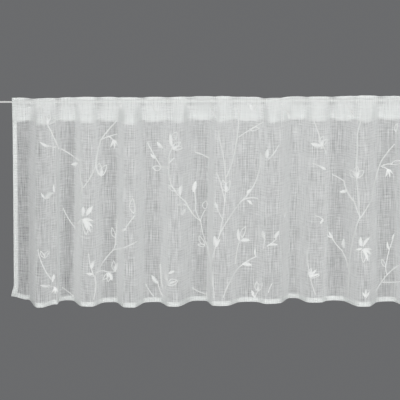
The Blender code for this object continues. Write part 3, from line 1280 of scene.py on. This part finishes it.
@dataclass(frozen=True)
class StitchPattern:
    """How threads are laid along a line, made with geometry nodes."""

    name: str
    pitch: float
    thread_radius: float
    slant: float
    crown: float
    slant_change: float = 0.08
    seed: int = 7
    thread_sides: int = 5
    thread_steps: int = 4

    def _tree(self) -> bpy.types.NodeTree:
        """Builds the tree that lays the threads."""
        tree = bpy.data.node_groups.new(self.name, "GeometryNodeTree")
        bench = NodeBench(tree)
        new_socket = tree.interface.new_socket
        new_socket("Lines", in_out="INPUT", socket_type="NodeSocketGeometry")
        for name in ("Pitch", "Thread radius", "Slant", "Slant change", "Crown"):
            new_socket(name, in_out="INPUT", socket_type="NodeSocketFloat")
        new_socket("Seed", in_out="INPUT", socket_type="NodeSocketInt")
        new_socket("Thread finish", in_out="INPUT", socket_type="NodeSocketMaterial")
        new_socket("Stitches", in_out="OUTPUT", socket_type="NodeSocketGeometry")
        given = bench.add("NodeGroupInput")
        out = bench.add("NodeGroupOutput")

        curve = bench.add("GeometryNodeMeshToCurve")
        spots = bench.add("GeometryNodeCurveToPoints", mode="LENGTH")
        bench.join(given.outputs["Lines"], curve.inputs["Mesh"])
        bench.join(curve.outputs["Curve"], spots.inputs["Curve"])
        bench.join(given.outputs["Pitch"], spots.inputs["Length"])

        facing = bench.add("FunctionNodeAlignRotationToVector", axis="X", pivot_axis="Z")
        bench.join(spots.outputs["Tangent"], facing.inputs["Vector"])
        change = bench.add("FunctionNodeRandomValue", data_type="FLOAT")
        lowest = bench.maths("MULTIPLY", given.outputs["Slant change"], -1.0)
        bench.join(lowest, change.inputs[2])
        bench.join(given.outputs["Slant change"], change.inputs[3])
        bench.join(given.outputs["Seed"], change.inputs["Seed"])
        angle = bench.maths("ADD", given.outputs["Slant"], change.outputs[1])
        turn = bench.add("ShaderNodeCombineXYZ")
        bench.join(angle, turn.inputs[2])
        as_turn = bench.add("FunctionNodeEulerToRotation")
        bench.join(turn.outputs[0], as_turn.inputs[0])
        turned = bench.add("FunctionNodeRotateRotation", rotation_space="LOCAL")
        bench.join(facing.outputs[0], turned.inputs[0])
        bench.join(as_turn.outputs[0], turned.inputs[1])

        half = bench.add(
            "GeometryNodeInputNamedAttribute", {"Name": "half_length"}, data_type="FLOAT"
        )
        size = bench.add("ShaderNodeCombineXYZ", {0: 1.0, 2: 1.0})
        bench.join(half.outputs[0], size.inputs[1])

        laid = bench.add("GeometryNodeInstanceOnPoints")
        bench.join(spots.outputs["Points"], laid.inputs["Points"])
        bench.join(self._thread(bench, given), laid.inputs["Instance"])
        bench.join(turned.outputs[0], laid.inputs["Rotation"])
        bench.join(size.outputs[0], laid.inputs["Scale"])
        real = bench.add("GeometryNodeRealizeInstances")
        dressed = bench.add("GeometryNodeSetMaterial")
        bench.join(laid.outputs[0], real.inputs[0])
        bench.join(real.outputs[0], dressed.inputs["Geometry"])
        bench.join(given.outputs["Thread finish"], dressed.inputs["Material"])
        bench.join(dressed.outputs[0], out.inputs["Stitches"])
        return tree

    def _thread(self, bench: NodeBench, given: bpy.types.Node) -> bpy.types.NodeSocket:
        """One thread, two units long, arched and thinner at its ends."""
        line = bench.add(
            "GeometryNodeCurvePrimitiveLine",
            {"Start": (0.0, -1.0, 0.0), "End": (0.0, 1.0, 0.0)},
        )
        parted = bench.add("GeometryNodeResampleCurve", {"Count": self.thread_steps + 1})
        bench.join(line.outputs[0], parted.inputs["Curve"])
        where = bench.add("GeometryNodeInputPosition")
        split = bench.add("ShaderNodeSeparateXYZ")
        bench.join(where.outputs[0], split.inputs[0])
        square = bench.maths("MULTIPLY", split.outputs["Y"], split.outputs["Y"])
        rise = bench.maths("SUBTRACT", 1.0, square)
        lift = bench.add("ShaderNodeCombineXYZ")
        bench.join(bench.maths("MULTIPLY", rise, given.outputs["Crown"]), lift.inputs[2])
        arched = bench.add("GeometryNodeSetPosition")
        bench.join(parted.outputs[0], arched.inputs["Geometry"])
        bench.join(lift.outputs[0], arched.inputs["Offset"])
        fourth = bench.maths("MULTIPLY", square, square)
        taper = bench.maths("MULTIPLY_ADD", fourth, -0.6, 1.0)
        thick = bench.add("GeometryNodeSetCurveRadius")
        bench.join(arched.outputs[0], thick.inputs["Curve"])
        bench.join(taper, thick.inputs["Radius"])
        ring = bench.add("GeometryNodeCurvePrimitiveCircle", {"Resolution": self.thread_sides})
        bench.join(given.outputs["Thread radius"], ring.inputs["Radius"])
        solid = bench.add("GeometryNodeCurveToMesh", {"Fill Caps": True})
        bench.join(thick.outputs[0], solid.inputs["Curve"])
        bench.join(ring.outputs[0], solid.inputs["Profile Curve"])
        if "Scale" in solid.inputs:
            bench.join(taper, solid.inputs["Scale"])
        return solid.outputs[0]

    def lay(
        self, name: str, lines: ThreadLines, finish: bpy.types.Material, hung: HungCloth
    ) -> bpy.types.Object:
        """Lays threads along the lines, and then lays the work on the hung cloth.

        Args:
            name: The piece's name.
            lines: The lines on the flat cloth.
            finish: The threads' material.
            hung: The hung cloth.

        Returns:
            The stitched piece.
        """
        drawing = lines.to_object(name + "_lines")
        tree = self._tree()
        stitches = drawing.modifiers.new("stitches", "NODES")
        stitches.node_group = tree
        given = {
            "Pitch": self.pitch,
            "Thread radius": self.thread_radius,
            "Slant": self.slant,
            "Slant change": self.slant_change,
            "Crown": self.crown,
            "Seed": self.seed,
            "Thread finish": finish,
        }
        for socket in tree.interface.items_tree:
            if socket.name in given:
                stitches[socket.identifier] = given[socket.name]
        depsgraph = bpy.context.evaluated_depsgraph_get()
        mesh = bpy.data.meshes.new_from_object(drawing.evaluated_get(depsgraph))
        bpy.data.objects.remove(drawing)
        mesh.name = name
        flat = np.zeros(len(mesh.vertices) * 3)
        mesh.vertices.foreach_get("co", flat)
        placed = hung.lay(flat.reshape(-1, 3))
        mesh.vertices.foreach_set("co", placed.ravel())
        mesh.shade_smooth()
        mesh.update()
        piece = bpy.data.objects.new(name, mesh)
        bpy.context.scene.collection.objects.link(piece)
        return piece


@dataclass
class Embroidery:
    """The scattered twigs, leaves and buds in white satin stitch."""

    hung: HungCloth
    seen_from: float = 17.0
    top_seen: float = 2.8 * MM
    stem_half: float = 1.8 * MM
    most_widened: float = 2.0
    loop_half: float = 1.5 * MM
    loop_leaf: float = 0.17
    ring_leaf: float = 0.30
    full_leaf: float = 0.25
    slim_leaf: float = 0.15
    petal_steps: int = 8
    step: float = 4 * MM
    stems: ThreadLines = field(default_factory=ThreadLines)
    leaves: ThreadLines = field(default_factory=ThreadLines)

    def _flat(self, seen: np.ndarray) -> np.ndarray:
        """Places on the flat cloth.

        Args:
            seen: Their distances from the left edge of the hung curtain, and how far above
                the frill's top they are seen from the front, which is less than 0.

        Returns:
            The distances across the flat cloth and the heights.
        """
        rise = math.radians(self.seen_from)
        below = -seen[:, 1] - self.top_seen
        z = self.hung.frill - below / math.cos(rise)
        for _ in range(3):
            forward = -self.hung.plan(self.hung.number_at(seen[:, 0], z), z)[1]
            z = self.hung.frill - (below - forward * math.sin(rise)) / math.cos(rise)
        number = self.hung.number_at(seen[:, 0], z)
        across = np.interp(number, self.hung.folds_dense, self.hung.arc_dense)
        return np.stack((across, z), axis=1)

    def _draw_line(self, lines: ThreadLines, seen: np.ndarray, halves: np.ndarray) -> None:
        """Draws a line so that it looks right from the front.

        Args:
            lines: The lines that it joins.
            seen: Its points as they are seen from the front.
            halves: Half its width at each point, as it is seen.
        """
        run = np.vstack((seen[1:], seen[-1:])) - np.vstack((seen[:1], seen[:-1]))
        run = run / np.hypot(run[:, 0], run[:, 1])[:, None]
        side = np.stack((-run[:, 1], run[:, 0]), axis=1) * halves[:, None]
        spread = self._flat(seen + side) - self._flat(seen - side)
        widths = np.minimum(np.hypot(spread[:, 0], spread[:, 1]) / 2, halves * self.most_widened)
        lines.draw([Vector(point) for point in self._flat(seen)], [float(w) for w in widths])

    def _stem(self, twig: Twig) -> None:
        """Draws a stem."""
        start = np.array((twig.x, -twig.down)) * MM
        end = np.array((twig.to_x, -twig.to_down)) * MM
        run = end - start
        length = math.hypot(run[0], run[1])
        aside = np.array((-run[1], run[0])) / length
        bend = (start + end) / 2 + aside * twig.bow * 2 * MM
        share = np.linspace(0, 1, max(3, round(length / self.step)) + 1)[:, None]
        line = start * (1 - share) ** 2 + bend * 2 * share * (1 - share) + end * share**2
        self._draw_line(self.stems, line, np.full(len(line), self.stem_half))

    def _petal(
        self, base: np.ndarray, angle: float, length: float, half: float, loop: bool
    ) -> None:
        """Draws a leaf or petal, filled with satin stitch or as a stitched loop.

        Args:
            base: Its base as it is seen from the front.
            angle: The way it points, in radians from the right.
            length: Its length.
            half: Half its width.
            loop: Whether it is an open loop.
        """
        along = np.array((math.cos(angle), math.sin(angle)))
        side = np.array((-along[1], along[0]))
        share = np.linspace(0, 1, self.petal_steps + 1)
        wide = np.sin(math.pi * share**0.85).clip(0, 1) ** 0.8
        curve = 0.08 * np.sin(math.pi * share)
        middle = base + length * (share[:, None] * along + curve[:, None] * side)
        if loop:
            out, back = middle + half * wide[:, None] * side, middle - half * wide[:, None] * side
            outline = np.vstack((out, back[-2::-1]))
            self._draw_line(self.stems, outline, np.full(len(outline), self.loop_half))
            return
        self._draw_line(self.leaves, middle, half * wide.clip(0.12, 1))

    def _sprig(self, sprig: Sprig) -> None:
        """Draws a leaf, bud or flower."""
        base = np.array((sprig.x, -sprig.down)) * MM
        angle, length = math.radians(sprig.points), sprig.length * MM
        full, slim = self.full_leaf * length, self.slim_leaf * length
        if sprig.kind is Bloom.LEAF:
            self._petal(base, angle, length, full, False)
        elif sprig.kind is Bloom.SLIM:
            self._petal(base, angle, length, slim, False)
        elif sprig.kind is Bloom.LOOP:
            self._petal(base, angle, length, self.loop_leaf * length, True)
        elif sprig.kind is Bloom.RING:
            self._petal(base, angle, length, self.ring_leaf * length, True)
        elif sprig.kind is Bloom.BUD:
            self._petal(base, angle + 0.30, length, slim * 1.4, True)
            self._petal(base, angle - 0.34, length * 0.92, slim * 1.3, True)
            self._petal(base, angle, length * 0.45, slim, False)
        elif sprig.kind is Bloom.FLOWER:
            for spread, share in ((0.72, 0.88), (0.0, 1.0), (-0.76, 0.84)):
                self._petal(base, angle + spread, length * share, slim * 1.5, True)
            self._petal(base, angle + 0.3, length * 0.6, slim * 0.8, False)
            self._petal(base, angle - 0.3, length * 0.55, slim * 0.8, False)
        else:
            for spread, share in ((0.55, 0.85), (0.02, 1.0), (-0.5, 0.9)):
                self._petal(base, angle + spread, length * share, slim * 0.9, False)

    def _draw(self) -> None:
        """Draws all the twigs and flowers on the flat cloth."""
        for twig in TWIGS:
            self._stem(twig)
        for sprig in SPRIGS:
            self._sprig(sprig)

    def build(self, finish: bpy.types.Material) -> list[bpy.types.Object]:
        """Makes the embroidery.

        Args:
            finish: The thread's material.

        Returns:
            The stems and the leaves.
        """
        self._draw()
        stem_stitch = StitchPattern(
            "stem_stitch", 1.15 * MM, 0.44 * MM, 0.65, 0.2 * MM, thread_sides=4, thread_steps=3
        )
        satin_stitch = StitchPattern("satin_stitch", 0.55 * MM, 0.31 * MM, 0.35, 0.4 * MM)
        return [
            stem_stitch.lay("embroidered_stems", self.stems, finish, self.hung),
            satin_stitch.lay("embroidered_leaves", self.leaves, finish, self.hung),
        ]


@dataclass
class SeamStitching:
    """The lockstitch seams of the hems and the heading."""

    hung: HungCloth
    stitch_pitch: float = 2.7 * MM
    stitch_half: float = 1.1 * MM
    hem_seam: float = 8.8 * MM
    side_seam: float = 11 * MM
    heading_seam: float = 1.6 * MM
    sleeve_seam: float = 3.9 * MM
    line_step: float = 4 * MM

    def _draw(self) -> ThreadLines:
        """Draws the seams on the flat cloth."""
        hung = self.hung
        lines = ThreadLines()
        width = hung.cloth_width
        levels = (hung.foot + self.hem_seam, hung.heading_foot + self.heading_seam)
        for z in (*levels, self.sleeve_seam):
            count = round(width / self.line_step)
            line = [Vector((width * step / count, z)) for step in range(count + 1)]
            lines.draw(line, [self.stitch_half] * len(line))
        for across in (self.side_seam, width - self.side_seam):
            ends = (hung.foot + 1 * MM, hung.heading_foot)
            count = round((ends[1] - ends[0]) / self.line_step)
            line = [
                Vector((across, ends[0] + (ends[1] - ends[0]) * step / count))
                for step in range(count + 1)
            ]
            lines.draw(line, [self.stitch_half] * len(line))
        return lines

    def build(self, finish: bpy.types.Material) -> bpy.types.Object:
        """Makes the seams' stitches.

        Args:
            finish: The thread's material.

        Returns:
            The stitches.
        """
        lockstitch = StitchPattern(
            "lockstitch", self.stitch_pitch, 0.2 * MM, math.pi / 2 - 0.08, 0.1 * MM
        )
        return lockstitch.lay("seam_stitches", self._draw(), finish, self.hung)


@dataclass
class CurtainRod:
    """The thin enamelled rod, with the sharp edge taken off its ends."""

    radius: float = 1.75 * MM
    length: float = 957 * MM
    edge: float = 0.25 * MM
    sides: int = 40

    def build(self, finish: bpy.types.Material) -> bpy.types.Object:
        """Makes the rod.

        Args:
            finish: The rod's material.

        Returns:
            The rod.
        """
        mesh = bpy.data.meshes.new("curtain_rod")
        bar = bmesh.new()
        bmesh.ops.create_cone(
            bar,
            cap_ends=True,
            segments=self.sides,
            radius1=self.radius,
            radius2=self.radius,
            depth=self.length,
            matrix=Matrix.Rotation(math.pi / 2, 4, "Y"),
        )
        rims = [edge for edge in bar.edges if abs(edge.verts[0].co.x - edge.verts[1].co.x) < 1e-6]
        bmesh.ops.bevel(bar, geom=rims, offset=self.edge, segments=2, affect="EDGES")
        for face in bar.faces:
            face.smooth = len(face.verts) == 4
        bar.to_mesh(mesh)
        bar.free()
        mesh.materials.append(finish)
        rod = bpy.data.objects.new("curtain_rod", mesh)
        bpy.context.scene.collection.objects.link(rod)
        return rod


class Softbox(NamedTuple):
    """A soft light: where it stands, its size and its strength."""

    name: str
    place: tuple[float, float, float]
    size: float
    watts: float


@dataclass
class Studio:
    """The camera, the plain surround, the floor and the soft lights."""

    target: tuple[float, float, float] = (-0.0525, 0.0, -0.2141)
    distance: float = 8.0
    elevation: float = 17.0
    azimuth: float = 0.0
    roll: float = -0.32
    frame_width: float = 832 * MM
    sensor: float = 36.0
    surround: tuple[float, float, float, float] = (0.146, 0.1485, 0.153, 1.0)
    floor_height: float = -1.25
    floor_radius: float = 1.15
    lights: tuple[Softbox, ...] = (
        Softbox("key", (2.4, -2.9, 0.6), 2.0, 57.0),
        Softbox("fill", (-2.4, -2.9, 0.3), 2.0, 56.0),
        Softbox("front", (0.2, -3.6, 0.1), 2.0, 54.0),
        Softbox("behind", (0.2, 3.0, 0.6), 2.4, 48.0),
    )

    def _aim(self, item: bpy.types.Object, target: Vector) -> None:
        """Turns a camera or light to face a point."""
        item.rotation_mode = "QUATERNION"
        item.rotation_quaternion = (target - item.location).to_track_quat("-Z", "Y")

    def add_camera(self) -> None:
        """Sets the camera up at the photograph's angle."""
        lens = bpy.data.cameras.new("camera")
        lens.sensor_width = self.sensor
        lens.lens = self.sensor * self.distance / self.frame_width
        camera = bpy.data.objects.new("camera", lens)
        bpy.context.scene.collection.objects.link(camera)
        target = Vector(self.target)
        rise, aside = math.radians(self.elevation), math.radians(self.azimuth)
        away = Vector(
            (math.sin(aside) * math.cos(rise), -math.cos(aside) * math.cos(rise), math.sin(rise))
        )
        camera.location = target + away * self.distance
        self._aim(camera, target)
        turn = Matrix.Rotation(math.radians(self.roll), 3, "Z").to_quaternion()
        camera.rotation_quaternion = camera.rotation_quaternion @ turn
        bpy.context.scene.camera = camera

    def add_lights(self) -> None:
        """Sets the soft lights and the even surround up."""
        for box in self.lights:
            light = bpy.data.lights.new(box.name, "AREA")
            light.energy = box.watts
            light.size = box.size
            lamp = bpy.data.objects.new(box.name, light)
            lamp.location = box.place
            lamp.visible_camera = False
            bpy.context.scene.collection.objects.link(lamp)
            self._aim(lamp, Vector((0.0, 0.0, -0.2)))
        world = bpy.data.worlds.new("surround")
        world.use_nodes = True
        world.node_tree.nodes["Background"].inputs["Color"].default_value = self.surround
        bpy.context.scene.world = world
        bpy.context.scene.view_settings.view_transform = "Standard"

    def add_floor(self) -> None:
        """Lays the pale floor, well below the hem."""
        mesh = bpy.data.meshes.new("floor")
        disc = bmesh.new()
        bmesh.ops.create_circle(disc, cap_ends=True, segments=96, radius=self.floor_radius)
        bmesh.ops.translate(disc, verts=disc.verts, vec=(0, 0, self.floor_height))
        disc.to_mesh(mesh)
        disc.free()
        mesh.materials.append(PlainPaint("floor_paint", (0.62, 0.62, 0.61, 1.0)).make())
        floor = bpy.data.objects.new("floor", mesh)
        bpy.context.scene.collection.objects.link(floor)

    def build(self) -> None:
        """Sets the whole studio up."""
        self.add_camera()
        self.add_lights()
        self.add_floor()
        bpy.context.scene.cycles.transparent_max_bounces = 32


def report(piece: bpy.types.Object) -> None:
    """Logs a piece's name and its number of triangles."""
    piece.data.calc_loop_triangles()
    LOG.info("%s: %d triangles", piece.name, len(piece.data.loop_triangles))


def dress() -> None:
    """Builds the curtain's pieces in order and ties each to the frame."""
    hung = HungCloth()
    Studio().build()

    cloth_maker = CurtainCloth(hung)
    cloth = cloth_maker.build(SheerWeave().make())
    satin = ThreadFinish("satin_thread", (0.83, 0.84, 0.83, 1.0), 0.5, 0.3).make()
    sewing = ThreadFinish("sewing_thread", (0.80, 0.80, 0.79, 1.0), 0.7, 0.1).make()
    embroidery = Embroidery(hung).build(satin)
    seams = SeamStitching(hung).build(sewing)
    rod = CurtainRod().build(RodEnamel().make())

    for piece in (cloth, *embroidery, seams, rod):
        report(piece)
        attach(piece, "root")
    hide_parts("curtain_panel")
    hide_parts("rod")
    LOG.info("cut size %.3f by %.3f", *cloth_maker.cut_size())


def main() -> None:
    """Loads the frame, dresses the curtain and logs its cut size."""
    logging.basicConfig(level=logging.INFO, format="%(name)s %(message)s")
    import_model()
    dress()


if __name__ == "__main__":
    main()
